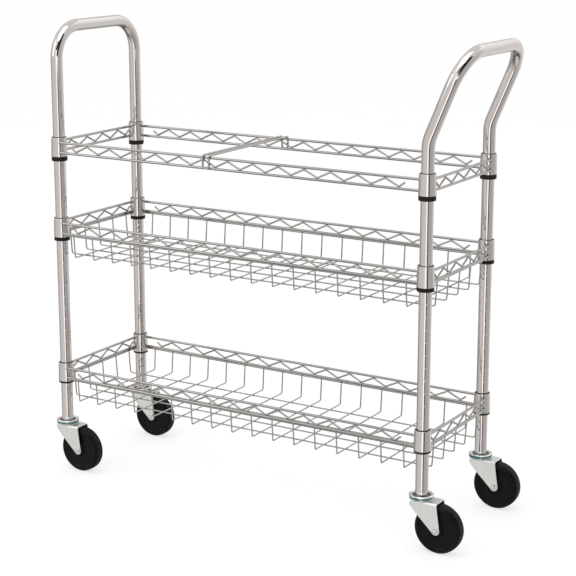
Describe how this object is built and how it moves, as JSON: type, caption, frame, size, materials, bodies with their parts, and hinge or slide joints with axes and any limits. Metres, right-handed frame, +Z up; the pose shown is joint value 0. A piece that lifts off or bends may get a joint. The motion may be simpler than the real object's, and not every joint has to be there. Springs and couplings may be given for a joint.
{
  "type": "mobile file cart",
  "caption": "Chrome wire cart on swivel casters with a hanging-file frame over a basket shelf, a lower basket and a push handle at each end.",
  "frame": {"origin": "centre of the cart's outline on the floor, under the wheels", "axes": "+X along the length towards the handle that leans out, +Y from the front side to the back, +Z up"},
  "size_m": [1.0032, 0.328, 1.003],
  "materials": {
    "chrome_plate": "bright chrome-plated steel",
    "zinc_plate": "zinc-plated pressed steel",
    "black_plastic": "moulded black plastic",
    "grey_nylon": "moulded nylon",
    "black_rubber": "hard black rubber, semi-gloss"
  },
  "bodies": {
    "cart_frame": {"caster_stem_back_left": "zinc_plate", "caster_stem_back_right": "zinc_plate", "caster_stem_front_left": "zinc_plate", "caster_stem_front_right": "zinc_plate", "handle_left": "chrome_plate", "handle_right": "chrome_plate", "joiner_plug_back_left": "zinc_plate", "joiner_plug_back_right": "zinc_plate", "joiner_plug_front_left": "zinc_plate", "joiner_plug_front_right": "zinc_plate", "lower_basket_floor": "chrome_plate", "lower_side_back": "chrome_plate", "lower_side_front": "chrome_plate", "lower_side_left": "chrome_plate", "lower_side_right": "chrome_plate", "middle_basket_floor": "chrome_plate", "middle_side_back": "chrome_plate", "middle_side_front": "chrome_plate", "middle_side_left": "chrome_plate", "middle_side_right": "chrome_plate", "post_back_left": "chrome_plate", "post_back_right": "chrome_plate", "post_front_left": "chrome_plate", "post_front_right": "chrome_plate", "sleeve_lower_back_left": "black_plastic", "sleeve_lower_back_right": "black_plastic", "sleeve_lower_front_left": "black_plastic", "sleeve_lower_front_right": "black_plastic", "sleeve_middle_back_left": "black_plastic", "sleeve_middle_back_right": "black_plastic", "sleeve_middle_front_left": "black_plastic", "sleeve_middle_front_right": "black_plastic", "sleeve_upper_back_left": "black_plastic", "sleeve_upper_back_right": "black_plastic", "sleeve_upper_front_left": "black_plastic", "sleeve_upper_front_right": "black_plastic", "stem_socket_back_left": "grey_nylon", "stem_socket_back_right": "grey_nylon", "stem_socket_front_left": "grey_nylon", "stem_socket_front_right": "grey_nylon", "upper_side_back": "chrome_plate", "upper_side_front": "chrome_plate", "upper_side_left": "chrome_plate", "upper_side_right": "chrome_plate"},
    "crossbar": {"file_crossbar": "chrome_plate"},
    "caster_front_left": {"caster_fork_front_left": "zinc_plate", "caster_axle_front_left": "zinc_plate"},
    "wheel_front_left": {"caster_wheel_front_left": "black_rubber"},
    "caster_front_right": {"caster_fork_front_right": "zinc_plate", "caster_axle_front_right": "zinc_plate"},
    "wheel_front_right": {"caster_wheel_front_right": "black_rubber"},
    "caster_back_left": {"caster_fork_back_left": "zinc_plate", "caster_axle_back_left": "zinc_plate"},
    "wheel_back_left": {"caster_wheel_back_left": "black_rubber"},
    "caster_back_right": {"caster_fork_back_right": "zinc_plate", "caster_axle_back_right": "zinc_plate"},
    "wheel_back_right": {"caster_wheel_back_right": "black_rubber"}
  },
  "joints": [
    {"name": "crossbar_slide", "type": "slide", "parent": "cart_frame", "child": "crossbar", "axis": [1, 0, 0], "range_m": [-0.36, 0.46]},
    {"name": "swivel_front_left", "type": "hinge", "parent": "cart_frame", "child": "caster_front_left", "pos_m": [-0.47662, -0.139, 0.108], "axis": [0, 0, 1], "continuous": true},
    {"name": "roll_front_left", "type": "hinge", "parent": "caster_front_left", "child": "wheel_front_left", "pos_m": [-0.43662, -0.139, 0.05], "axis": [0, 1, 0], "continuous": true},
    {"name": "swivel_front_right", "type": "hinge", "parent": "cart_frame", "child": "caster_front_right", "pos_m": [0.41238, -0.139, 0.108], "axis": [0, 0, 1], "continuous": true},
    {"name": "roll_front_right", "type": "hinge", "parent": "caster_front_right", "child": "wheel_front_right", "pos_m": [0.45238, -0.139, 0.05], "axis": [0, 1, 0], "continuous": true},
    {"name": "swivel_back_left", "type": "hinge", "parent": "cart_frame", "child": "caster_back_left", "pos_m": [-0.47662, 0.139, 0.108], "axis": [0, 0, 1], "continuous": true},
    {"name": "roll_back_left", "type": "hinge", "parent": "caster_back_left", "child": "wheel_back_left", "pos_m": [-0.43662, 0.139, 0.05], "axis": [0, 1, 0], "continuous": true},
    {"name": "swivel_back_right", "type": "hinge", "parent": "cart_frame", "child": "caster_back_right", "pos_m": [0.41238, 0.139, 0.108], "axis": [0, 0, 1], "continuous": true},
    {"name": "roll_back_right", "type": "hinge", "parent": "caster_back_right", "child": "wheel_back_right", "pos_m": [0.45238, 0.139, 0.05], "axis": [0, 1, 0], "continuous": true}
  ]
}
